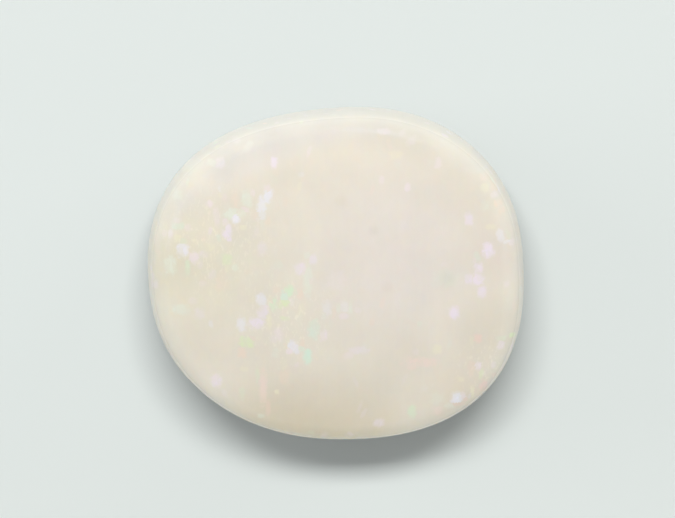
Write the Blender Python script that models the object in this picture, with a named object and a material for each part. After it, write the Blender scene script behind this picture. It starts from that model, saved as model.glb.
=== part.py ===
"""A polished white opal: one cushion-oval stone with a low dome, a rounded shoulder and a flat back.

It lies on its back with the dome up: +X runs along its length, +Y across it, and the origin is
the middle of the flat back. Lengths are in metres and angles in radians.
"""
import math

import bmesh
import bpy
import numpy as np

# Driving dimensions
LENGTH = 0.0140
WIDTH = 0.01236
THICKNESS = 0.0046
SHOULDER_RADIUS = 0.0009
FOOT_RADIUS = 0.00045

# The side profile is a chain of four arcs. Each ends where its normal has tipped this far from straight up.
DOME_END = math.radians(15)
SHOULDER_END = math.radians(78)
WALL_END = math.radians(102)
FOOT_END = math.radians(180)

# The outline is a softened square, turned a little, with one pair of corners fuller than the other and
# three faint lobes, as on a hand-cut stone. It is then stretched to the length and the width.
SQUARENESS = 2.29
CORNER_SWING = -0.075
TURN = math.radians(3.5)
LOBE_X = -0.013
LOBE_Y = 0.0045

# How finely the faces are cut
CROWN_STEPS = 16
SHOULDER_STEPS = 7
WALL_STEPS = 4
FOOT_STEPS = 4

OPAL_COLOUR = (0.80, 0.74, 0.66, 1.0)
OPAL_ROUGHNESS = 0.12
OPAL_IOR = 1.45


def clear_scene():
    for thing in list(bpy.data.objects):
        bpy.data.objects.remove(thing)


def outline_reach(bearing):
    """How far the bare outline rule reaches along a bearing, before it is sized."""
    own = bearing - TURN
    power = SQUARENESS + CORNER_SWING * math.sin(2 * own)
    square = (abs(math.cos(own)) ** power + abs(math.sin(own)) ** power) ** (-1 / power)
    return square * (1 + LOBE_X * math.cos(3 * own) + LOBE_Y * math.sin(3 * own))


def outline_box():
    """The middle and the half sides of the bare outline's box, as (x, y) pairs."""
    bearings = np.radians(np.arange(0, 360, 0.25))
    reach = np.array([outline_reach(bearing) for bearing in bearings])
    corners = np.column_stack((reach * np.cos(bearings), reach * np.sin(bearings)))
    low, high = corners.min(axis=0), corners.max(axis=0)
    return (low + high) / 2, (high - low) / 2


def side_arcs():
    """The profile's arcs as (radius, first angle, last angle), from the crown to the flat back.

    The dome's and the wall's radii follow from the thickness and from the mean half width.
    """
    half = (LENGTH + WIDTH) / 4
    sines = np.sin((DOME_END, SHOULDER_END, WALL_END, FOOT_END))
    cosines = np.cos((DOME_END, SHOULDER_END, WALL_END, FOOT_END))
    shares = np.array(((sines[0], 1 - sines[1]), (1 - cosines[0], cosines[1] - cosines[2])))
    left_over = np.array((
        half - SHOULDER_RADIUS * (sines[1] - sines[0]),
        THICKNESS - SHOULDER_RADIUS * (cosines[0] - cosines[1]) - FOOT_RADIUS * (cosines[2] - cosines[3]),
    ))
    dome_radius, wall_radius = np.linalg.solve(shares, left_over)
    return (
        (dome_radius, 0.0, DOME_END),
        (SHOULDER_RADIUS, DOME_END, SHOULDER_END),
        (wall_radius, SHOULDER_END, WALL_END),
        (FOOT_RADIUS, WALL_END, FOOT_END),
    )


def side_point(angle, arcs):
    """The profile point where the normal has tipped by angle: its share of the half width, and its height."""
    reach, height = 0.0, THICKNESS
    for radius, first, last in arcs:
        turned = min(max(angle, first), last)
        reach += radius * (math.sin(turned) - math.sin(first))
        height -= radius * (math.cos(first) - math.cos(turned))
    return reach / ((LENGTH + WIDTH) / 4), height


def side_angles():
    """The normal's tip at each ring of the side, from just below the dome to the flat back."""
    runs = (
        (DOME_END, SHOULDER_END, SHOULDER_STEPS),
        (SHOULDER_END, WALL_END, WALL_STEPS),
        (WALL_END, FOOT_END, FOOT_STEPS),
    )
    return [first + (last - first) * (step + 1) / steps for first, last, steps in runs for step in range(steps)]


def round_off(vertex):
    """Moves a point of a square grid of half side 1 onto a disc, where rings of squares become circles."""
    level = max(abs(vertex.co.x), abs(vertex.co.y))
    if level == 0:
        return
    quarter = math.pi / 4
    bearing = math.atan2(math.tan(quarter * vertex.co.y / level), math.tan(quarter * vertex.co.x / level))
    vertex.co = (level * math.cos(bearing), level * math.sin(bearing), 0.0)


def drum(rings):
    """A closed drum: a round grid on top, one ring of quads a step below another, and one flat face under it."""
    shape = bmesh.new()
    bmesh.ops.create_grid(shape, x_segments=2 * CROWN_STEPS, y_segments=2 * CROWN_STEPS, size=1)
    for vertex in shape.verts:
        round_off(vertex)
    rim = [edge for edge in shape.edges if edge.is_boundary]
    for _ in range(rings):
        grown = bmesh.ops.extrude_edge_only(shape, edges=rim)["geom"]
        lowered = [part for part in grown if isinstance(part, bmesh.types.BMVert)]
        bmesh.ops.translate(shape, verts=lowered, vec=(0, 0, -1))
        rim = [part for part in grown if isinstance(part, bmesh.types.BMEdge) and part.is_boundary]
    bmesh.ops.edgeloop_fill(shape, edges=rim)
    return shape


def shape_stone(shape, angles):
    """Gives each point of the drum its place on the stone."""
    arcs = side_arcs()
    middle, half_sides = outline_box()
    for vertex in shape.verts:
        ring = round(-vertex.co.z)
        bearing = math.atan2(vertex.co.y, vertex.co.x)
        if ring == 0:
            spread = min(math.hypot(vertex.co.x, vertex.co.y), 1.0)
            angle = math.asin(spread * math.sin(DOME_END))
        else:
            angle = angles[ring - 1]
        share, height = side_point(angle, arcs)
        reach = outline_reach(bearing)
        along = (reach * math.cos(bearing) - middle[0]) / half_sides[0] * LENGTH / 2
        across = (reach * math.sin(bearing) - middle[1]) / half_sides[1] * WIDTH / 2
        vertex.co = (share * along, share * across, height)


def opal_material():
    material = bpy.data.materials.new("white_opal")
    material.use_nodes = True
    surface = material.node_tree.nodes["Principled BSDF"]
    surface.inputs["Base Color"].default_value = OPAL_COLOUR
    surface.inputs["Roughness"].default_value = OPAL_ROUGHNESS
    surface.inputs["IOR"].default_value = OPAL_IOR
    surface.inputs["Metallic"].default_value = 0.0
    return material


def make_opal():
    angles = side_angles()
    shape = drum(len(angles))
    shape_stone(shape, angles)
    bmesh.ops.recalc_face_normals(shape, faces=shape.faces)
    mesh = bpy.data.meshes.new("opal")
    shape.to_mesh(mesh)
    shape.free()
    mesh.shade_smooth()
    mesh.materials.append(opal_material())
    opal = bpy.data.objects.new("opal", mesh)
    bpy.context.scene.collection.objects.link(opal)
    return opal


clear_scene()
make_opal()
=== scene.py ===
import math

import bpy
import numpy as np
from mathutils import Matrix, Vector


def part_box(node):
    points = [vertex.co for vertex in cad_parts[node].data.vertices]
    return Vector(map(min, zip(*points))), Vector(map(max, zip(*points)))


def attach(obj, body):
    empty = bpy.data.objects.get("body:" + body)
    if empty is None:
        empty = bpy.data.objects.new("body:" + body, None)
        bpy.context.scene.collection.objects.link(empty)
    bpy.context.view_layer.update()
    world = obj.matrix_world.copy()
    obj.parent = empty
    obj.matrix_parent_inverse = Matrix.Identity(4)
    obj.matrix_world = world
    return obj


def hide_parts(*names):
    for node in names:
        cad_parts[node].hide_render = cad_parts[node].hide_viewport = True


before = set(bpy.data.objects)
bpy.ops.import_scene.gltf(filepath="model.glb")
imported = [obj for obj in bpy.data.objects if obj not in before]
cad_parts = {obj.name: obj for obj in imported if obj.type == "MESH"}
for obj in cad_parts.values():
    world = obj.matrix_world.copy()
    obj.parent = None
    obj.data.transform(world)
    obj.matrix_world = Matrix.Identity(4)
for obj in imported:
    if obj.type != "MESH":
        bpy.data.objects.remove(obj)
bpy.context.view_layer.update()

stoneLow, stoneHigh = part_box("opal")
mm = 0.001


def hexColour(code):
    # an sRGB hex code as linear RGBA
    parts = [int(code[start:start + 2], 16) / 255 for start in (0, 2, 4)]
    return tuple(p / 12.92 if p <= 0.04045 else ((p + 0.055) / 1.055) ** 2.4 for p in parts) + (1.0,)


def addNode(tree, kind, inputs=None, **settings):
    # one node, its settings, and its inputs from values, sockets or other nodes' first outputs
    node = tree.nodes.new(kind)
    for name, value in settings.items():
        setattr(node, name, value)
    pairs = inputs.items() if isinstance(inputs, dict) else enumerate(inputs or ())
    for socket, source in pairs:
        if source is None:
            continue
        if isinstance(source, bpy.types.Node):
            source = source.outputs[0]
        if isinstance(source, bpy.types.NodeSocket):
            tree.links.new(source, node.inputs[socket])
        else:
            node.inputs[socket].default_value = source
    return node


# the cut of the stone: lengths in mm, angles in degrees. Each arc of the side profile ends where its
# normal has tipped that far.
cut = {
    "length": 14.0,
    "width": 12.36,
    "thickness": 4.6,
    "shoulderRadius": 0.9,
    "footRadius": 0.45,
    "domeEnd": 15,
    "shoulderEnd": 78,
    "wallEnd": 102,
    "squareness": 2.29,
    "cornerSwing": -0.075,
    "turn": 3.5,
    "lobeX": -0.013,
    "lobeY": 0.0045,
    "crownSteps": 64,       # quads from the crown to the shoulder
    "shoulderSteps": 16,
    "wallSteps": 24,
    "footSteps": 12,
}


def arcRadii():
    # the dome's and the wall's radii, from the thickness and the mean half width
    tips = np.radians((cut["domeEnd"], cut["shoulderEnd"], cut["wallEnd"], 180))
    sines, cosines = np.sin(tips), np.cos(tips)
    half = (cut["length"] + cut["width"]) / 4
    shoulder, foot = cut["shoulderRadius"], cut["footRadius"]
    shares = np.array(((sines[0], 1 - sines[1]), (1 - cosines[0], cosines[1] - cosines[2])))
    leftOver = np.array((
        half - shoulder * (sines[1] - sines[0]),
        cut["thickness"] - shoulder * (cosines[0] - cosines[1]) - foot * (cosines[2] - cosines[3]),
    ))
    dome, wall = np.linalg.solve(shares, leftOver)
    return {"Dome Radius": dome, "Shoulder Radius": shoulder, "Wall Radius": wall, "Foot Radius": foot}


def stoneTree():
    tree = bpy.data.node_groups.new("cutStone", "GeometryNodeTree")
    tree.interface.new_socket("Geometry", in_out="OUTPUT", socket_type="NodeSocketGeometry")
    floats = ["Dome Radius", "Shoulder Radius", "Wall Radius", "Foot Radius", "Dome End", "Shoulder End",
              "Wall End", "Thickness", "Squareness", "Corner Swing", "Turn", "Lobe X", "Lobe Y",
              "Shoulder Share", "Wall Share"]
    for name in floats:
        tree.interface.new_socket(name, in_out="INPUT", socket_type="NodeSocketFloat")
    for name in ("Crown Points", "Side Points"):
        tree.interface.new_socket(name, in_out="INPUT", socket_type="NodeSocketInt")
    for name in ("Box Low", "Box High"):
        tree.interface.new_socket(name, in_out="INPUT", socket_type="NodeSocketVector")
    tree.interface.new_socket("Finish", in_out="INPUT", socket_type="NodeSocketMaterial")
    given = addNode(tree, "NodeGroupInput").outputs

    # a cube's grid gives closed quads with no poles: its top is the crown, its sides the profile and its
    # bottom the back
    cube = addNode(tree, "GeometryNodeMeshCube", {
        "Size": (2, 2, 2), "Vertices X": given["Crown Points"], "Vertices Y": given["Crown Points"],
        "Vertices Z": given["Side Points"]})
    place = addNode(tree, "ShaderNodeSeparateXYZ", [addNode(tree, "GeometryNodeInputPosition")]).outputs
    sizes = [addNode(tree, "ShaderNodeMath", [place[axis]], operation="ABSOLUTE") for axis in "XY"]
    level = addNode(tree, "ShaderNodeMath", sizes, operation="MAXIMUM")
    bottom = -0.999        # the cube reaches from -1 to 1
    under = addNode(tree, "ShaderNodeMath", [place["Z"], bottom], operation="LESS_THAN")
    crownLevel = addNode(tree, "ShaderNodeMath", [level, under], operation="MAXIMUM")
    backLevel = addNode(tree, "ShaderNodeMix", {0: under, 2: 1.0, 3: level})

    # rings of squares become circles with evenly spaced bearings
    slopes = []
    for axis in "YX":
        share = addNode(tree, "ShaderNodeMath", [place[axis], level], operation="DIVIDE")
        quarter = addNode(tree, "ShaderNodeMath", [share, math.pi / 4], operation="MULTIPLY")
        slopes.append(addNode(tree, "ShaderNodeMath", [quarter], operation="TANGENT"))
    bearing = addNode(tree, "ShaderNodeMath", slopes, operation="ARCTAN2")

    # how far the normal has tipped from straight up at each point
    sine = addNode(tree, "ShaderNodeMath", [given["Dome End"]], operation="SINE")
    sine = addNode(tree, "ShaderNodeMath", [sine, crownLevel], operation="MULTIPLY")
    tip = addNode(tree, "ShaderNodeMath", [sine], operation="ARCSINE")
    fall = addNode(tree, "ShaderNodeMapRange", [place["Z"], 1.0, -1.0, 0.0, 1.0])
    runs = (
        (0.0, given["Shoulder Share"], given["Dome End"], given["Shoulder End"]),
        (given["Shoulder Share"], given["Wall Share"], given["Shoulder End"], given["Wall End"]),
        (given["Wall Share"], 1.0, given["Wall End"], math.pi),
    )
    for first, last, tipFrom, tipTo in runs:
        sweep = addNode(tree, "ShaderNodeMath", [tipTo, tipFrom], operation="SUBTRACT")
        turned = addNode(tree, "ShaderNodeMapRange", [fall, first, last, 0.0, sweep])
        tip = addNode(tree, "ShaderNodeMath", [tip, turned], operation="ADD")

    # the side profile as a chain of arcs
    arcs = (
        ("Dome Radius", 0.0, given["Dome End"]),
        ("Shoulder Radius", given["Dome End"], given["Shoulder End"]),
        ("Wall Radius", given["Shoulder End"], given["Wall End"]),
        ("Foot Radius", given["Wall End"], math.pi),
    )
    reach, height, half = 0.0, given["Thickness"], 0.0
    for radius, first, last in arcs:
        for goal in ("stone", "girdle"):
            at = tip if goal == "stone" else math.pi / 2
            turned = addNode(tree, "ShaderNodeClamp", [at, first, last])
            sines = [addNode(tree, "ShaderNodeMath", [angle], operation="SINE")
                     for angle in (turned, first)]
            out = addNode(tree, "ShaderNodeMath", sines, operation="SUBTRACT")
            if goal == "girdle":
                half = addNode(tree, "ShaderNodeMath", [out, given[radius], half],
                               operation="MULTIPLY_ADD")
                continue
            reach = addNode(tree, "ShaderNodeMath", [out, given[radius], reach],
                            operation="MULTIPLY_ADD")
            cosines = [addNode(tree, "ShaderNodeMath", [angle], operation="COSINE")
                       for angle in (turned, first)]
            drop = addNode(tree, "ShaderNodeMath", cosines, operation="SUBTRACT")
            height = addNode(tree, "ShaderNodeMath", [drop, given[radius], height],
                             operation="MULTIPLY_ADD")
    share = addNode(tree, "ShaderNodeMath", [reach, half], operation="DIVIDE")
    share = addNode(tree, "ShaderNodeMath", [share, backLevel], operation="MULTIPLY")

    # the outline: a softened square, turned, with uneven corners and three faint lobes
    own = addNode(tree, "ShaderNodeMath", [bearing, given["Turn"]], operation="SUBTRACT")
    double = addNode(tree, "ShaderNodeMath", [own, 2.0], operation="MULTIPLY")
    swing = addNode(tree, "ShaderNodeMath", [double], operation="SINE")
    power = addNode(tree, "ShaderNodeMath", [swing, given["Corner Swing"], given["Squareness"]],
                    operation="MULTIPLY_ADD")
    total = 0.0
    for operation in ("COSINE", "SINE"):
        part = addNode(tree, "ShaderNodeMath", [own], operation=operation)
        part = addNode(tree, "ShaderNodeMath", [part], operation="ABSOLUTE")
        part = addNode(tree, "ShaderNodeMath", [part, power], operation="POWER")
        total = addNode(tree, "ShaderNodeMath", [part, total], operation="ADD")
    root = addNode(tree, "ShaderNodeMath", [-1.0, power], operation="DIVIDE")
    outline = addNode(tree, "ShaderNodeMath", [total, root], operation="POWER")
    triple = addNode(tree, "ShaderNodeMath", [own, 3.0], operation="MULTIPLY")
    lobes = 1.0
    for name, operation in (("Lobe X", "COSINE"), ("Lobe Y", "SINE")):
        wave = addNode(tree, "ShaderNodeMath", [triple], operation=operation)
        lobes = addNode(tree, "ShaderNodeMath", [wave, given[name], lobes], operation="MULTIPLY_ADD")
    outline = addNode(tree, "ShaderNodeMath", [outline, lobes], operation="MULTIPLY")
    outward = addNode(tree, "ShaderNodeMath", [outline, share], operation="MULTIPLY")
    ends = []
    for operation in ("COSINE", "SINE"):
        side = addNode(tree, "ShaderNodeMath", [bearing], operation=operation)
        ends.append(addNode(tree, "ShaderNodeMath", [side, outward], operation="MULTIPLY"))
    spot = addNode(tree, "ShaderNodeCombineXYZ", ends + [height])
    bare = addNode(tree, "GeometryNodeSetPosition", {"Geometry": cube, "Position": spot})

    # stretched to fill the frame's box
    bounds = addNode(tree, "GeometryNodeBoundBox", [bare]).outputs
    here = addNode(tree, "GeometryNodeInputPosition")
    fitted = addNode(tree, "ShaderNodeMapRange", data_type="FLOAT_VECTOR", clamp=False)
    for socket, source in ((6, here.outputs[0]), (7, bounds["Min"]), (8, bounds["Max"]),
                           (9, given["Box Low"]), (10, given["Box High"])):
        tree.links.new(source, fitted.inputs[socket])
    placed = addNode(tree, "GeometryNodeSetPosition", {"Geometry": bare, "Position": fitted.outputs[1]})
    smooth = addNode(tree, "GeometryNodeSetShadeSmooth", {"Geometry": placed})
    whole = addNode(tree, "GeometryNodeRealizeInstances", {"Geometry": smooth})
    finished = addNode(tree, "GeometryNodeSetMaterial", {"Geometry": whole, "Material": given["Finish"]})
    output = addNode(tree, "NodeGroupOutput")
    tree.links.new(finished.outputs[0], output.inputs[0])
    return tree


def makeStone(finish):
    tree = stoneTree()
    sideSteps = cut["shoulderSteps"] + cut["wallSteps"] + cut["footSteps"]
    values = arcRadii()
    values.update({
        "Dome End": math.radians(cut["domeEnd"]), "Shoulder End": math.radians(cut["shoulderEnd"]),
        "Wall End": math.radians(cut["wallEnd"]), "Thickness": cut["thickness"],
        "Squareness": cut["squareness"], "Corner Swing": cut["cornerSwing"],
        "Turn": math.radians(cut["turn"]), "Lobe X": cut["lobeX"], "Lobe Y": cut["lobeY"],
        "Shoulder Share": cut["shoulderSteps"] / sideSteps,
        "Wall Share": (cut["shoulderSteps"] + cut["wallSteps"]) / sideSteps,
        "Crown Points": 2 * cut["crownSteps"] + 1, "Side Points": sideSteps + 1,
        "Box Low": stoneLow, "Box High": stoneHigh, "Finish": finish})
    blank = bpy.data.objects.new("stoneBlank", bpy.data.meshes.new("stoneBlank"))
    bpy.context.scene.collection.objects.link(blank)
    cutter = blank.modifiers.new("cut", "NODES")
    cutter.node_group = tree
    for item in tree.interface.items_tree:
        if item.in_out == "INPUT":
            cutter[item.identifier] = values[item.name]
    graph = bpy.context.evaluated_depsgraph_get()
    mesh = bpy.data.meshes.new_from_object(blank.evaluated_get(graph))
    bpy.data.objects.remove(blank)
    stone = bpy.data.objects.new("opalStone", mesh)
    bpy.context.scene.collection.objects.link(stone)
    return stone


# the finish. Lengths in mm, colours as sRGB hex.
finish = {
    "body": "ebe5d8",          # milky cream
    "noiseSpan": (0.25, 0.75),     # the levels between which nearly all of a noise lies
    # large soft tints, those along the rims partly painted shade: place x, y on the face, reach, colour,
    # share
    "cloudsAndPaintedShade": (
        (-5.2, 0.5, 4.2, "ebe6d4", 0.75),      # creamier left
        (2.3, 1.0, 5.2, "ece5de", 0.80),       # pinkish grey, middle to right
        (-2.6, -5.8, 3.2, "dcd2ba", 0.60),     # tan along the bottom, partly painted shade
        (0.0, -6.8, 4.8, "d8ceb5", 0.74),
        (5.0, -4.6, 2.6, "e0d5c3", 0.45),
        (-4.3, 5.1, 2.1, "d2cfcb", 0.58),      # cooler and a shade deeper along the top: painted shade on the brightly lit top rim
        (-2.5, 6.1, 2.2, "cdcac8", 0.74),
        (-0.5, 6.5, 2.3, "cdcac6", 0.76),
        (1.5, 6.5, 2.3, "cdcac4", 0.74),
        (3.4, 6.1, 2.3, "cdcac3", 0.56),
        (5.2, 5.0, 2.1, "d2cfc8", 0.50),
        (-6.1, 3.1, 1.8, "d8d4cd", 0.45),
        (-6.4, 0.6, 1.9, "dcd6c2", 0.28),      # and beside the left and right rim, partly painted shade
        (5.8, 3.3, 1.3, "d8d0c2", 0.24),
        (6.5, 1.0, 2.3, "e6dbd3", 0.45),
        (5.9, -2.0, 2.4, "dcd4c4", 0.30),
        (2.4, -2.7, 1.5, "ddd0bf", 0.12),      # faint smudges
        (1.4, 1.9, 0.35, "dcd2c6", 0.25),
        (0.2, 3.0, 0.40, "ddd3c4", 0.20),
        (1.9, -0.2, 0.35, "ddd3c9", 0.20),
        (4.1, 0.1, 0.55, "d9dacb", 0.40),
    ),
    "cloudGrain": 2.2,         # size of the milky mottling
    "cloudRough": 0.55,
    "cloudDepth": 0.030,       # how much it lightens and darkens
    "stripePitch": 0.13,       # fine upright striations
    "stripeLength": 2.6,
    "stripeSpan": (0.3, 0.7),
    "stripeDepth": 0.0035,
    "pinfireWide": 0.20,       # single colour grains
    "pinfireLong": 0.34,
    "pinfireStray": 0.9,       # how far the grains stray from an even grid
    "pinfireTint": 0.010,
    "speckWide": 0.10,         # small pale specks, strongest where the flashes crowd
    "speckLong": 0.20,
    "speckFrom": 0.56,         # the noise level where a speck starts, and where it is full
    "speckFull": 0.72,
    "speckLift": (0.004, 0.065),
    "edgeNoise": 0.16,         # grain that frays the flashes' edges
    "edgeFray": 0.28,
    "flashSoft": 0.50,         # share of a flash's radius that fades
    "flashSquare": 2.6,        # 2 makes the flashes ovals, and more makes them blocks
    "flashSparkle": 0.55,      # the least share of a flash that its grains let through
    "roughFace": 0.09,         # polished
    "roughBack": 0.34,         # the side and the back, ground smooth but not polished
    "polishFrom": 0.30,        # the polish starts and is full where the normal rises this far
    "polishFull": 0.78,
    "groundTintAndLight": "ebe7dc",    # the ground surface is evener and paler, partly painted light that lifts the side wall beside the shaded board
    "groundTintAndLightShare": 0.50,
    "waviness": 0.9,           # slow swell that a hand polish leaves
    "wavinessDepth": 0.0006,
    "refraction": 1.44,
    "glow": 1.0,               # share of light that travels inside the stone
    "glowReach": (1.6, 1.4, 1.1),
}

# play of colour: pastel, because it shines up through milky silica
tints = {
    "whiteBlue": "f2f1f7",
    "violet": "f4eaf2",
    "pink": "f5eaed",
    "green": "e3f0d8",
    "paleGreen": "ebf0e4",
    "aqua": "e2f1e2",
    "lime": "e6f0cc",
    "orange": "f3e3d4",
    "salmon": "f4e3d9",
    "yellow": "f3efd6",
    "red": "f3dcd2",
}

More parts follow.
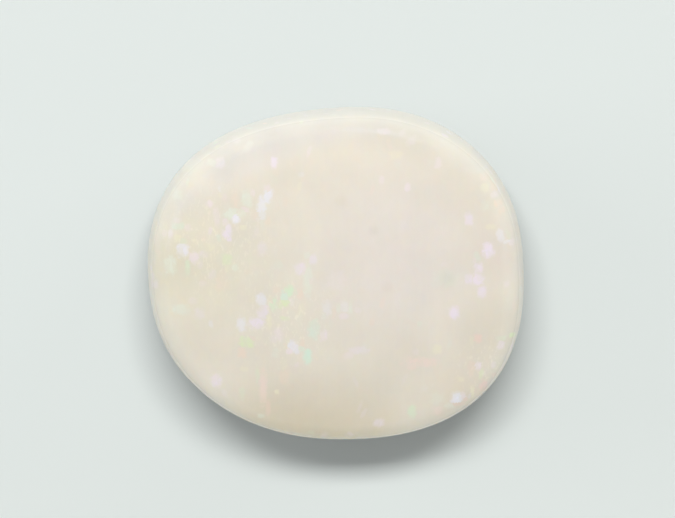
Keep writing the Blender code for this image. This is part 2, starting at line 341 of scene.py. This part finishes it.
# x, y on the face, length, width, lean clockwise from upright in degrees, tint, strength
faceFlashes = (
    # upper left
    (-2.50, 3.16, 0.50, 0.27, 22, "whiteBlue", 0.88),
    (-2.72, 2.81, 0.54, 0.29, 14, "whiteBlue", 0.88),
    (-2.70, 2.46, 0.34, 0.22, 0, "whiteBlue", 0.45),
    (-2.50, 3.42, 0.22, 0.24, 0, "pink", 0.45),
    (-3.06, 3.26, 0.20, 0.16, 0, "pink", 0.50),
    (-3.27, 3.02, 0.50, 0.30, 0, "paleGreen", 0.75),
    (-3.68, 3.02, 0.55, 0.26, 0, "orange", 0.45),
    (-4.22, 3.14, 0.20, 0.12, -35, "yellow", 0.45),
    (-4.64, 2.83, 0.20, 0.22, 0, "pink", 0.65),
    (-4.38, 2.40, 0.55, 0.20, -5, "pink", 0.45),
    (-3.83, 2.51, 0.34, 0.50, 0, "paleGreen", 0.80),
    (-3.68, 2.35, 0.34, 0.26, 0, "whiteBlue", 0.85),
    (-3.45, 2.53, 0.30, 0.30, 0, "paleGreen", 0.50),
    (-3.34, 2.65, 0.20, 0.26, 0, "pink", 0.55),
    (-4.05, 2.18, 0.24, 0.18, 0, "pink", 0.60),
    (-3.94, 1.93, 0.34, 0.20, -8, "violet", 1.00),
    (-4.00, 1.75, 0.30, 0.26, 0, "violet", 0.75),
    (-3.92, 1.60, 0.18, 0.16, 0, "violet", 0.85),
    (-3.00, 2.45, 0.34, 0.20, 0, "orange", 0.35),
    (-2.48, 2.27, 0.30, 0.16, 0, "orange", 0.45),
    (-3.42, 1.99, 0.16, 0.20, 0, "yellow", 0.50),
    (-3.26, 1.52, 0.30, 0.10, -60, "yellow", 0.35),
    (-1.88, 2.92, 0.30, 0.16, 0, "orange", 0.30),
    (-2.26, 4.36, 0.34, 0.20, 0, "violet", 0.75),
    (-4.27, 4.33, 0.30, 0.30, 0, "violet", 0.35),
    (-4.55, 4.32, 0.20, 0.30, 0, "paleGreen", 0.40),
    (-3.69, 5.15, 0.18, 0.26, 0, "pink", 0.25),
    (-1.33, 3.52, 0.24, 0.12, 0, "yellow", 0.35),
    # far left
    (-5.84, 3.15, 0.30, 0.30, 0, "paleGreen", 0.40),
    (-5.84, 2.20, 0.18, 0.20, 0, "pink", 0.40),
    (-5.80, 2.00, 0.22, 0.34, 0, "aqua", 0.50),
    (-5.46, 1.95, 0.20, 0.20, 0, "pink", 0.40),
    (-6.30, 1.72, 0.20, 0.14, 0, "pink", 0.40),
    (-6.08, 1.70, 0.24, 0.16, 0, "pink", 0.40),
    (-5.80, 1.53, 0.20, 0.30, 0, "yellow", 0.50),
    (-5.60, 1.45, 0.20, 0.26, 0, "green", 0.40),
    (-6.60, 1.40, 0.90, 0.20, 0, "orange", 0.35),
    (-5.63, 1.14, 0.46, 0.34, 0, "whiteBlue", 0.85),
    (-5.13, 1.44, 0.20, 0.12, -35, "yellow", 0.35),
    (-5.20, 0.84, 0.38, 0.32, -20, "pink", 0.70),
    (-4.89, 0.99, 0.20, 0.26, 0, "violet", 0.40),
    (-6.08, 0.55, 0.50, 0.34, 0, "paleGreen", 0.75),
    (-5.45, 0.49, 0.40, 0.16, 0, "green", 0.60),
    (-4.57, 1.26, 0.24, 0.20, 0, "yellow", 0.45),
    (-4.01, 0.81, 0.36, 0.30, 0, "lime", 0.60),
    (-4.01, 0.48, 0.30, 0.14, 0, "yellow", 0.40),
    (-3.70, 0.52, 0.22, 0.20, 0, "paleGreen", 0.50),
    (-4.18, 0.00, 0.60, 0.44, 0, "orange", 0.45),
    (-6.70, -0.20, 0.24, 0.20, 0, "pink", 0.45),
    (-4.90, -0.10, 0.20, 0.20, 0, "pink", 0.30),
    (-2.70, 1.20, 0.40, 0.30, 0, "violet", 0.35),
    (-5.72, -1.09, 0.30, 0.50, 0, "paleGreen", 0.70),
    (-5.05, -1.22, 0.30, 0.30, 0, "violet", 0.40),
    (-5.24, -0.75, 0.20, 0.30, 0, "pink", 0.30),
    # middle
    (-0.84, 0.85, 0.30, 0.24, 0, "violet", 0.60),
    (-1.03, 1.00, 0.20, 0.20, 0, "paleGreen", 0.35),
    (-1.29, 0.52, 0.34, 0.34, 0, "violet", 0.70),
    (-1.03, 0.07, 0.90, 0.26, 0, "paleGreen", 0.55),
    (0.00, 0.07, 0.60, 0.50, 0, "violet", 0.25),
    (-2.73, -0.68, 0.34, 0.30, 0, "whiteBlue", 0.85),
    (-1.72, -0.34, 0.34, 0.26, 20, "green", 1.00),
    (-1.88, -0.57, 0.40, 0.24, 0, "aqua", 1.00),
    (-1.89, -0.76, 0.24, 0.30, 0, "lime", 0.90),
    (-2.28, -0.83, 0.40, 0.28, 0, "green", 0.75),
    (-2.07, -0.83, 0.26, 0.20, 0, "lime", 0.55),
    (-1.33, -0.42, 0.34, 0.24, -30, "orange", 0.50),
    (-2.19, -0.28, 0.20, 0.24, 0, "orange", 0.35),
    (-2.67, -1.13, 0.46, 0.34, 15, "violet", 0.65),
    (-2.91, -1.53, 0.34, 0.46, 0, "violet", 0.95),
    (-3.47, -1.60, 0.42, 0.26, 0, "whiteBlue", 0.75),
    (-2.45, -1.42, 0.50, 0.18, 0, "yellow", 0.50),
    (-1.89, -1.35, 0.14, 0.30, 0, "lime", 0.45),
    (-1.26, -1.05, 0.40, 0.20, 0, "yellow", 0.35),
    (-2.11, -1.93, 0.40, 0.30, 0, "pink", 0.50),
    (-2.28, -2.12, 0.24, 0.24, 0, "violet", 0.30),
    (-3.30, -2.27, 0.34, 0.44, 0, "lime", 0.90),
    (-3.45, -2.65, 0.36, 0.26, 0, "orange", 0.85),
    (-3.08, -2.12, 0.16, 0.20, 0, "red", 0.35),
    (-1.61, -2.40, 0.36, 0.34, 0, "whiteBlue", 0.85),
    (-1.70, -2.55, 0.20, 0.20, 0, "pink", 0.90),
    (-1.44, -2.53, 0.24, 0.20, 0, "whiteBlue", 0.60),
    (-1.25, -2.50, 0.18, 0.22, 0, "aqua", 0.50),
    (-1.23, -2.27, 0.24, 0.16, 0, "orange", 0.50),
    (-1.03, -2.78, 0.46, 0.26, 0, "aqua", 1.00),
    (-0.81, -1.74, 0.56, 0.34, 0, "aqua", 0.60),
    (-0.45, -1.98, 0.30, 0.24, 0, "pink", 0.70),
    (-0.33, -0.98, 0.44, 0.28, 0, "whiteBlue", 0.45),
    (-0.42, -1.24, 0.20, 0.14, 0, "paleGreen", 0.40),
    (-0.06, -1.13, 0.50, 0.14, 0, "orange", 0.30),
    (0.31, -0.92, 0.34, 0.30, 0, "whiteBlue", 0.40),
    (0.53, -0.95, 0.40, 0.16, 0, "paleGreen", 0.60),
    (0.10, -0.94, 0.30, 0.20, 0, "paleGreen", 0.40),
    (0.31, -1.25, 0.20, 0.30, 0, "violet", 0.40),
    (0.48, -2.74, 0.26, 0.26, 0, "pink", 0.45),
    (0.83, -2.54, 0.22, 0.60, 0, "violet", 0.50),
    (-1.46, -3.08, 0.16, 0.14, 0, "pink", 0.35),
    (-2.22, -2.65, 0.30, 0.20, 0, "paleGreen", 0.35),
    # bottom
    (-4.43, -3.75, 0.36, 0.30, 0, "violet", 0.75),
    (-2.68, -4.00, 1.00, 0.24, 3, "salmon", 0.85),
    (-2.50, -4.75, 0.45, 0.16, 0, "red", 0.45),
    (-1.88, -3.55, 0.50, 0.28, 0, "orange", 0.40),
    (-2.18, -4.14, 0.16, 0.14, 0, "yellow", 0.70),
    (-2.90, -3.48, 0.44, 0.12, 0, "green", 0.35),
    (-3.45, -4.20, 0.40, 0.20, 0, "green", 0.35),
    (-3.37, -3.30, 0.16, 0.26, 0, "yellow", 0.35),
    (3.14, -3.02, 0.30, 0.93, 0, "salmon", 0.80),
    (2.80, -3.16, 0.20, 0.30, 0, "salmon", 0.60),
    (3.72, -2.54, 0.28, 0.26, 0, "yellow", 0.80),
    (2.82, -4.90, 0.40, 0.26, 0, "green", 0.65),
    (1.60, -5.33, 0.26, 0.30, 0, "violet", 0.55),
    (3.78, -4.89, 0.26, 0.36, 0, "salmon", 0.60),
    (3.75, -4.40, 0.40, 0.40, 0, "paleGreen", 0.35),
    (4.20, -4.70, 0.20, 0.30, 0, "paleGreen", 0.50),
    # right
    (4.89, 2.28, 0.34, 0.25, 0, "violet", 0.80),
    (5.68, 1.97, 0.16, 0.30, 0, "yellow", 0.45),
    (5.50, 3.80, 0.24, 0.28, 0, "orange", 0.40),
    (5.81, 3.46, 0.40, 0.26, 0, "orange", 0.60),
    (5.50, 3.40, 0.30, 0.30, 0, "yellow", 0.40),
    (5.84, 3.15, 0.24, 0.20, 0, "pink", 0.50),
    (6.00, 2.83, 0.24, 0.30, 0, "orange", 0.75),
    (6.12, 2.58, 0.26, 0.20, 0, "orange", 0.60),
    (6.49, 2.80, 0.20, 0.12, 0, "orange", 0.50),
    (5.50, 2.76, 0.30, 0.26, 0, "paleGreen", 0.35),
    (6.03, 1.72, 0.26, 0.22, 0, "whiteBlue", 0.45),
    (6.10, 1.55, 0.30, 0.24, -30, "whiteBlue", 0.50),
    (6.32, 1.42, 0.30, 0.12, 80, "whiteBlue", 0.55),
    (6.48, 1.38, 0.20, 0.20, 0, "pink", 0.50),
    (5.62, 1.10, 0.42, 0.34, 0, "violet", 1.00),
    (5.26, 0.46, 0.30, 0.26, 0, "violet", 0.75),
    (4.91, 0.07, 0.30, 0.30, 0, "violet", 0.70),
    (5.23, 0.04, 0.36, 0.32, 0, "violet", 1.00),
    (5.38, -0.42, 0.38, 0.26, 0, "violet", 0.75),
    (4.07, 0.12, 0.50, 0.90, 0, "paleGreen", 0.30),
    (4.36, -1.16, 0.36, 0.30, 0, "violet", 0.90),
    (5.24, -2.16, 0.24, 0.26, 0, "red", 0.85),
    (6.52, -2.11, 0.14, 0.22, 0, "lime", 0.80),
    (6.15, -2.18, 0.16, 0.30, 0, "green", 0.40),
    (6.10, -2.44, 0.26, 0.22, 0, "violet", 0.60),
    (5.25, -3.20, 0.24, 0.22, 0, "pink", 0.95),
    (5.00, -3.20, 0.30, 0.26, 0, "red", 0.45),
    (5.83, -3.17, 0.20, 0.16, 0, "pink", 0.40),
    (5.37, -3.50, 0.34, 0.14, 10, "lime", 0.60),
    (5.00, -3.42, 0.30, 0.16, 0, "orange", 0.50),
    (5.88, -3.60, 0.16, 0.20, 0, "red", 0.40),
    (5.46, -4.00, 0.40, 0.26, 20, "red", 0.95),
    (5.07, -4.20, 0.34, 0.16, 0, "yellow", 0.70),
    (5.24, -4.24, 0.30, 0.28, 0, "orange", 0.50),
    (4.49, -4.43, 0.40, 0.36, 15, "whiteBlue", 1.00),
    (4.70, -4.38, 0.30, 0.20, 0, "pink", 0.85),
    (4.77, -4.48, 0.16, 0.20, 0, "red", 0.60),
    (4.56, -4.64, 0.14, 0.40, 0, "red", 0.40),
    (6.60, -0.95, 0.60, 0.14, 0, "orange", 0.30),
    # top
    (1.75, 5.50, 0.18, 0.42, 0, "pink", 0.35),
    (2.45, 5.45, 0.14, 0.24, -30, "violet", 0.15),
    (2.78, 5.15, 0.22, 0.34, -30, "violet", 0.35),
    (2.20, 4.66, 0.26, 0.36, 0, "yellow", 0.40),
    (3.75, 4.32, 0.34, 0.20, 0, "pink", 0.50),
    (2.64, 3.49, 0.24, 0.20, 0, "pink", 0.70),
    (1.68, 3.76, 0.26, 0.16, 0, "pink", 0.50),
)

# flecks too many to place by hand, scattered over the whole stone
scatter = {
    "seed": 11,
    "count": 420,
    "length": (0.14, 0.42),
    "width": (0.10, 0.24),
    "lean": 28,                # most they lean either way
    "strength": (0.10, 0.38),
    "mix": ("violet", "violet", "whiteBlue", "paleGreen", "pink",
            "salmon", "aqua", "green", "orange", "yellow"),
    "crowd": ((-4.4, 1.4, 3.2), (-1.8, -1.4, 2.8), (5.6, -3.2, 1.9)),   # x, y, reach of the busy patches
    "face": 0.5,               # the face is where the normal rises more than this
    "quiet": 0.30,             # share that is kept outside them on the face
    "sideShare": 1.8,          # bolder on the side and the back, which have no placed ones
}

# how a flash lies on the stone
flash = {
    "reach": 0.6,              # its half size, with a fifth more for the edge that fades
    "depth": 0.6,              # mm it shows above and below its own level
    "facing": 0.05,            # least it may turn away from a face that shows it
}


def flashRow(centre, facing, up, length, width, lean, tint, strength):
    # one flash: its middle, its own long and short axes in half sizes, and the way it faces
    facing = facing / np.linalg.norm(facing)
    along = up - facing * (up @ facing)
    along = along / np.linalg.norm(along)
    across = np.cross(along, facing)
    turn = math.radians(lean)
    long = along * math.cos(turn) + across * math.sin(turn)
    short = across * math.cos(turn) - along * math.sin(turn)
    halfLong, halfShort = length * flash["reach"] * mm, width * flash["reach"] * mm
    return centre, facing, long / halfLong, short / halfShort, hexColour(tints[tint]), strength


def placedFlashes(centres, normals):
    # the listed flashes look straight up, so each keeps its plan on the curved face
    rows = []
    upright = np.array((0.0, 1.0, 0.0))
    above = np.array((0.0, 0.0, 1.0))
    face = normals[:, 2] > flash["facing"]
    for x, y, length, width, lean, tint, strength in faceFlashes:
        apart = np.hypot(centres[:, 0] - x * mm, centres[:, 1] - y * mm) + np.where(face, 0, 1)
        nearest = centres[np.argmin(apart)]
        middle = np.array((x * mm, y * mm, nearest[2]))
        rows.append(flashRow(middle, above, upright, length, width, lean, tint, strength))
    return rows


def scatteredFlashes(centres, normals, areas):
    dice = np.random.default_rng(scatter["seed"])
    rows = []
    picks = dice.choice(len(centres), scatter["count"], p=areas / areas.sum())
    for pick in picks:
        sizes = dice.uniform(*scatter["length"]), dice.uniform(*scatter["width"])
        lean = dice.uniform(-scatter["lean"], scatter["lean"])
        strength = dice.uniform(*scatter["strength"])
        tint = scatter["mix"][dice.integers(len(scatter["mix"]))]
        chance = dice.uniform()
        place, facing = centres[pick], normals[pick]
        if facing[2] > scatter["face"]:
            near = [math.exp(-((place[0] / mm - x) ** 2 + (place[1] / mm - y) ** 2) / reach ** 2)
                    for x, y, reach in scatter["crowd"]]
            if chance > max(scatter["quiet"], max(near)):
                continue
        else:
            strength *= scatter["sideShare"]
        up = np.array((0.0, 1.0, 0.0)) if abs(facing[1]) < 0.8 else np.array((0.0, 0.0, 1.0))
        rows.append(flashRow(place, facing, up, *sizes, lean, tint, strength))
    return rows


def paintFlashes(stone):
    # each face carries its nearest flash: where its corners lie in it, its tint and its strength
    mesh = stone.data
    points = np.empty(len(mesh.vertices) * 3)
    mesh.vertices.foreach_get("co", points)
    points = points.reshape(-1, 3)
    corners = np.empty(len(mesh.loops), dtype=np.int64)
    mesh.loops.foreach_get("vertex_index", corners)
    faceCount = len(mesh.polygons)
    starts = np.empty(faceCount, dtype=np.int64)
    normals, areas = np.empty(faceCount * 3), np.empty(faceCount)
    mesh.polygons.foreach_get("loop_start", starts)
    mesh.polygons.foreach_get("normal", normals)
    mesh.polygons.foreach_get("area", areas)
    totals = np.diff(np.append(starts, len(corners)))
    owner = np.repeat(np.arange(faceCount), totals)
    normals = normals.reshape(-1, 3)
    centres = np.add.reduceat(points[corners], starts) / totals[:, None]

    rows = placedFlashes(centres, normals) + scatteredFlashes(centres, normals, areas)
    tooFar = 9.0           # in flash radii: no flash comes near
    nearest, reach = np.zeros(faceCount, dtype=np.int64), np.full(faceCount, tooFar)
    for number, (middle, facing, long, short, tint, strength) in enumerate(rows):
        off = centres - middle
        away = np.hypot(off @ long, off @ short)
        level = (np.abs(off @ facing) < flash["depth"] * mm) & (normals @ facing > flash["facing"])
        closer = (away < reach) & level
        nearest[closer], reach[closer] = number, away[closer]
    own = nearest[owner]
    middles, _, longs, shorts, colours, strengths = (np.array(column) for column in zip(*rows))
    off = points[corners] - middles[own]
    place = np.stack([(off * longs[own]).sum(1), (off * shorts[own]).sum(1),
                      np.where(reach[owner] < tooFar, strengths[own], 0)], axis=1)
    where = mesh.attributes.new("flashPlace", "FLOAT_VECTOR", "CORNER")
    where.data.foreach_set("vector", place.astype(np.float32).ravel())
    shade = mesh.attributes.new("flashTint", "FLOAT_COLOR", "CORNER")
    shade.data.foreach_set("color", colours[own].astype(np.float32).ravel())
    return len(rows)


def blend(tree, share, first, second, how="MIX"):
    # first turning into second by share
    both = addNode(tree, "ShaderNodeMix", data_type="RGBA", blend_type=how)
    for socket, source in ((0, share), (6, first), (7, second)):
        if isinstance(source, bpy.types.NodeSocket):
            tree.links.new(source, both.inputs[socket])
        else:
            both.inputs[socket].default_value = source
    return both.outputs[2]


def nearness(tree, flat, x, y, reach, share):
    # share at a place on the face, fading to nothing at reach from it
    away = addNode(tree, "ShaderNodeVectorMath", [flat, (x * mm, y * mm, 0)], operation="DISTANCE")
    amount = addNode(tree, "ShaderNodeMapRange", [away.outputs["Value"], 0.0, reach * mm, share, 0.0],
                     interpolation_type="SMOOTHERSTEP")
    return amount.outputs[0]


def opalMaterial():
    # precious opal, cabochon cut and polished: a milky body with soft depth, a glassy skin and
    # pastel flashes
    material = bpy.data.materials.new("polishedMilkOpal")
    material.use_nodes = True
    tree = material.node_tree
    surface = tree.nodes["Principled BSDF"]
    place = addNode(tree, "ShaderNodeTexCoord").outputs["Object"]

    # the milky body with its large soft tints, those along the rims partly painted shade
    colour = hexColour(finish["body"])
    flat = addNode(tree, "ShaderNodeVectorMath", [place, (1, 1, 0)], operation="MULTIPLY")
    for x, y, reach, code, share in finish["cloudsAndPaintedShade"]:
        colour = blend(tree, nearness(tree, flat, x, y, reach, share), colour, hexColour(code))
    normal = addNode(tree, "ShaderNodeNewGeometry").outputs["Normal"]
    facing = addNode(tree, "ShaderNodeSeparateXYZ", [normal])
    ground = addNode(tree, "ShaderNodeMapRange",
                     [facing.outputs["Z"], finish["polishFrom"], finish["polishFull"], 1.0, 0.0])
    # the ground side wall and back turn paler: partly painted light that lifts the wall beside the shaded
    # board
    paler = addNode(tree, "ShaderNodeMath", [ground, finish["groundTintAndLightShare"]], operation="MULTIPLY")
    colour = blend(tree, paler.outputs[0], colour, hexColour(finish["groundTintAndLight"]))

    # cloudy mottling and fine upright stripes, as factors round 1
    milk = addNode(tree, "ShaderNodeTexNoise", {"Vector": place, "Scale": 1 / (finish["cloudGrain"] * mm),
                                                "Detail": 3.0, "Roughness": finish["cloudRough"]})
    depth = finish["cloudDepth"]
    milk = addNode(tree, "ShaderNodeMapRange",
                   [milk.outputs["Fac"], *finish["noiseSpan"], 1 - depth, 1 + depth])
    pitch, run = 1 / (finish["stripePitch"] * mm), 1 / (finish["stripeLength"] * mm)
    combed = addNode(tree, "ShaderNodeVectorMath", [place, (pitch, run, run)], operation="MULTIPLY")
    stripes = addNode(tree, "ShaderNodeTexNoise", {"Vector": combed, "Scale": 1.0, "Detail": 1.0})
    depth = finish["stripeDepth"]
    stripes = addNode(tree, "ShaderNodeMapRange",
                      [stripes.outputs["Fac"], *finish["stripeSpan"], 1 - depth, 1 + depth])
    shade = addNode(tree, "ShaderNodeMath", [milk, stripes], operation="MULTIPLY")
    crowd = 0.0
    for x, y, reach in scatter["crowd"]:
        patch = nearness(tree, flat, x, y, reach, 1.0)
        crowd = addNode(tree, "ShaderNodeMath", [crowd, patch], operation="MAXIMUM")
    lift = addNode(tree, "ShaderNodeMapRange", [crowd, 0.0, 1.0, *finish["speckLift"]])
    wide, long = 1 / (finish["speckWide"] * mm), 1 / (finish["speckLong"] * mm)
    specks = addNode(tree, "ShaderNodeVectorMath", [place, (wide, long, wide)], operation="MULTIPLY")
    specks = addNode(tree, "ShaderNodeTexNoise", {"Vector": specks, "Scale": 1.0, "Detail": 1.0})
    specks = addNode(tree, "ShaderNodeMapRange",
                     [specks.outputs["Fac"], finish["speckFrom"], finish["speckFull"], 0.0, 1.0])
    specks = addNode(tree, "ShaderNodeMath", [specks, lift, 1.0], operation="MULTIPLY_ADD")
    shade = addNode(tree, "ShaderNodeMath", [shade, specks], operation="MULTIPLY")

    # pinfire: small upright grains, each with its own faint tint
    wide, long = 1 / (finish["pinfireWide"] * mm), 1 / (finish["pinfireLong"] * mm)
    grains = addNode(tree, "ShaderNodeVectorMath", [place, (wide, long, wide)], operation="MULTIPLY")
    cells = addNode(tree, "ShaderNodeTexVoronoi",
                    {"Vector": grains, "Scale": 1.0, "Randomness": finish["pinfireStray"]})
    tint = finish["pinfireTint"]
    fire = addNode(tree, "ShaderNodeVectorMath",
                   [cells.outputs["Color"], (tint,) * 3, (1 - tint / 2,) * 3], operation="MULTIPLY_ADD")
    shaded = addNode(tree, "ShaderNodeVectorMath", {0: fire, "Scale": shade}, operation="SCALE")
    body = blend(tree, 1.0, colour, shaded.outputs[0], "MULTIPLY")

    # the flashes: a frayed block round each one's middle, fading at its edge
    where = addNode(tree, "ShaderNodeSeparateXYZ",
                    [addNode(tree, "ShaderNodeAttribute", attribute_name="flashPlace").outputs["Vector"]])
    flashTint = addNode(tree, "ShaderNodeAttribute", attribute_name="flashTint").outputs["Color"]
    square = finish["flashSquare"]
    sides = [addNode(tree, "ShaderNodeMath", [where.outputs[axis]], operation="ABSOLUTE")
             for axis in "XY"]
    powers = [addNode(tree, "ShaderNodeMath", [side, square], operation="POWER") for side in sides]
    total = addNode(tree, "ShaderNodeMath", powers, operation="ADD")
    away = addNode(tree, "ShaderNodeMath", [total, 1 / square], operation="POWER")
    fray = addNode(tree, "ShaderNodeTexNoise", {"Vector": place, "Scale": 1 / (finish["edgeNoise"] * mm),
                                                "Detail": 1.0})
    frayed = addNode(tree, "ShaderNodeMapRange",
                     [fray.outputs["Fac"], *finish["noiseSpan"], -finish["edgeFray"], finish["edgeFray"]])
    away = addNode(tree, "ShaderNodeMath", [away, frayed], operation="ADD")
    soft = finish["flashSoft"]
    mask = addNode(tree, "ShaderNodeMapRange", [away, 1 - soft, 1 + soft, 1.0, 0.0],
                   interpolation_type="SMOOTHSTEP")
    grainLight = addNode(tree, "ShaderNodeSeparateColor", [cells.outputs["Color"]])
    sparkle = addNode(tree, "ShaderNodeMapRange",
                      [grainLight.outputs[0], 0.0, 1.0, finish["flashSparkle"], 1.0])
    mask = addNode(tree, "ShaderNodeMath", [mask, sparkle], operation="MULTIPLY")
    mask = addNode(tree, "ShaderNodeMath", [mask, where.outputs["Z"]], operation="MULTIPLY")
    final = blend(tree, mask.outputs[0], body, flashTint)
    tree.links.new(final, surface.inputs["Base Color"])

    # glassy on the dome, with a softer sheen on the ground side and back
    rough = addNode(tree, "ShaderNodeMapRange",
                    [ground, 0.0, 1.0, finish["roughFace"], finish["roughBack"]])
    tree.links.new(rough.outputs[0], surface.inputs["Roughness"])
    swell = addNode(tree, "ShaderNodeTexNoise", {"Vector": place, "Scale": 1 / (finish["waviness"] * mm)})
    polish = addNode(tree, "ShaderNodeBump", {"Strength": 1.0, "Distance": finish["wavinessDepth"] * mm,
                                              "Height": swell.outputs["Fac"]})
    tree.links.new(polish.outputs[0], surface.inputs["Normal"])
    surface.inputs["IOR"].default_value = finish["refraction"]
    surface.inputs["Subsurface Weight"].default_value = finish["glow"]
    surface.inputs["Subsurface Radius"].default_value = finish["glowReach"]
    surface.inputs["Subsurface Scale"].default_value = mm
    return material


opal = makeStone(opalMaterial())
flashCount = paintFlashes(opal)
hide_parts("opal")
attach(opal, "root")
opal.visible_diffuse = False       # keeps its glow off the board
stoneSize = [round(side / mm, 3) for side in opal.dimensions]
print("stone", len(opal.data.polygons), "faces,", flashCount, "flashes,", stoneSize)


# floor, light and camera
studio = {
    "floor": "e7ede9",
    "floorReach": 0.2,         # m, from the middle to each side
    "floorRough": 0.6,
    "backdrop": "e2e8e5",      # what the camera sees past the floor
    "fill": "e4e9e7",
    "fillStrength": 0.04,
    "tentStrength": 0.95,      # white walls all round, which the polish mirrors
}


def makeFloor():
    mesh = bpy.data.meshes.new("floor")
    reach = studio["floorReach"]
    mesh.from_pydata([(-reach, -reach, 0), (reach, -reach, 0), (reach, reach, 0), (-reach, reach, 0)],
                     [], [(0, 1, 2, 3)])
    floor = bpy.data.objects.new("floor", mesh)
    bpy.context.scene.collection.objects.link(floor)
    # pale matt board: an even ground that mirrors nothing
    board = bpy.data.materials.new("paleMattBoard")
    board.use_nodes = True
    surface = board.node_tree.nodes["Principled BSDF"]
    surface.inputs["Base Color"].default_value = hexColour(studio["floor"])
    surface.inputs["Roughness"].default_value = studio["floorRough"]
    mesh.materials.append(board)


# Soft panels. bearing is in degrees with 90 at +Y, and height is in degrees above the floor. far, wide
# and long are in mm. bright is the light that a panel adds to a white card facing it.
lamps = {
    "overhead": {"bearing": 90, "height": 88, "far": 420, "wide": 240, "long": 240, "bright": 0.165,
                 "colour": "ffffff", "lights": "body", "shadow": False},
    "key": {"bearing": 93, "height": 61, "far": 800, "wide": 560, "long": 160, "bright": 0.765,
            "colour": "ffffff", "lights": "body", "shadow": True},
    "back": {"bearing": 90, "height": 7, "far": 420, "wide": 300, "long": 70, "bright": 0.15,
             "colour": "ffffff", "lights": "body", "shadow": True},
    "front": {"bearing": -90, "height": 10, "far": 420, "wide": 420, "long": 90, "bright": 0.27,
              "colour": "ffffff", "lights": "body", "shadow": False},
    "right": {"bearing": 38, "height": 12, "far": 420, "wide": 280, "long": 70, "bright": 0.155,
              "colour": "ffffff", "lights": "body", "shadow": True},
    "rightFront": {"bearing": -45, "height": 14, "far": 420, "wide": 260, "long": 70, "bright": 0.12,
                   "colour": "ffffff", "lights": "body", "shadow": False},
    "left": {"bearing": 165, "height": 14, "far": 420, "wide": 300, "long": 70, "bright": 0.20,
             "colour": "ffffff", "lights": "body", "shadow": True},
    "veil": {"bearing": 126, "height": 56, "far": 420, "wide": 600, "long": 190, "bright": 0.34,
             "colour": "7fb0ff", "lights": "polish", "shadow": True},
    "line": {"bearing": 112, "height": 25, "far": 420, "wide": 270, "long": 70, "bright": 0.06,
             "colour": "e8f0ff", "lights": "polish", "shadow": True},
}


def makeLamps():
    for name, lamp in lamps.items():
        light = bpy.data.lights.new(name, "AREA")
        light.shape = "RECTANGLE"
        light.size, light.size_y = lamp["wide"] * mm, lamp["long"] * mm
        far = lamp["far"] * mm
        light.energy = lamp["bright"] * math.pi ** 2 * far ** 2    # watts
        light.color = hexColour(lamp["colour"])[:3]
        bearing, height = math.radians(lamp["bearing"]), math.radians(lamp["height"])
        away = Vector((math.cos(bearing) * math.cos(height), math.sin(bearing) * math.cos(height),
                       math.sin(height)))
        sideways = Vector((-math.sin(bearing), math.cos(bearing), 0))
        upwards = away.cross(sideways)
        spot = away * far
        holder = bpy.data.objects.new(name, light)
        holder.matrix_world = Matrix((
            (sideways.x, upwards.x, away.x, spot.x),
            (sideways.y, upwards.y, away.y, spot.y),
            (sideways.z, upwards.z, away.z, spot.z),
            (0, 0, 0, 1)))
        light.use_shadow = lamp["shadow"]
        holder.visible_camera = False
        holder.visible_glossy = lamp["lights"] == "polish"
        holder.visible_diffuse = lamp["lights"] == "body"
        bpy.context.scene.collection.objects.link(holder)


def makeSky():
    # a weak fill all round, white walls in the reflections, and a pale backdrop past the floor
    world = bpy.data.worlds.new("studioSky")
    world.use_nodes = True
    tree = world.node_tree
    fill = tree.nodes["Background"]
    fill.inputs["Color"].default_value = hexColour(studio["fill"])
    fill.inputs["Strength"].default_value = studio["fillStrength"]
    tent = addNode(tree, "ShaderNodeBackground",
                   {"Color": hexColour(studio["fill"]), "Strength": studio["tentStrength"]})
    backdrop = addNode(tree, "ShaderNodeBackground", {"Color": hexColour(studio["backdrop"])})
    ray = addNode(tree, "ShaderNodeLightPath").outputs
    lit = addNode(tree, "ShaderNodeMixShader", [ray["Is Glossy Ray"], fill, tent])
    both = addNode(tree, "ShaderNodeMixShader", [ray["Is Camera Ray"], lit, backdrop])
    tree.links.new(both.outputs[0], tree.nodes["World Output"].inputs["Surface"])
    bpy.context.scene.world = world


view = {
    "leanAngle": 7,            # degrees off straight down, towards +Y
    "lens": 300,               # mm
    "sensor": 36,
    "frameWide": 675,          # pixels
    "frameHigh": 518,
    "stoneWide": 376,          # pixels that the stone's length takes
    "girdleHeight": 1.76,      # mm above the floor, the stone's widest level
    "middlePixel": (335.75, 272.9),    # where the middle of that level is seen
    "clip": (0.001, 10),       # m
}


def makeCamera():
    lean = math.radians(view["leanAngle"])
    side = Vector((1, 0, 0))
    towards = Vector((0, math.sin(lean), math.cos(lean)))
    pictureUp = Vector((0, math.cos(lean), -math.sin(lean)))
    pixel = (stoneHigh.x - stoneLow.x) / view["stoneWide"]
    far = pixel * view["frameWide"] * view["lens"] / view["sensor"]
    right = (view["frameWide"] / 2 - view["middlePixel"][0]) * pixel
    up = (view["middlePixel"][1] - view["frameHigh"] / 2) * pixel
    aim = Vector((0, 0, view["girdleHeight"] * mm)) + side * right + pictureUp * up
    place = aim + towards * far
    data = bpy.data.cameras.new("camera")
    data.lens = view["lens"]
    data.sensor_width = view["sensor"]
    data.clip_start, data.clip_end = view["clip"]
    camera = bpy.data.objects.new("camera", data)
    camera.matrix_world = Matrix((
        (side.x, pictureUp.x, towards.x, place.x),
        (side.y, pictureUp.y, towards.y, place.y),
        (side.z, pictureUp.z, towards.z, place.z),
        (0, 0, 0, 1)))
    bpy.context.scene.collection.objects.link(camera)
    bpy.context.scene.camera = camera


makeFloor()
print("floor laid")
makeLamps()
makeSky()
print(len(lamps), "lamps and a weak sky")
makeCamera()
bpy.context.scene.view_settings.view_transform = "Standard"
print("camera set")
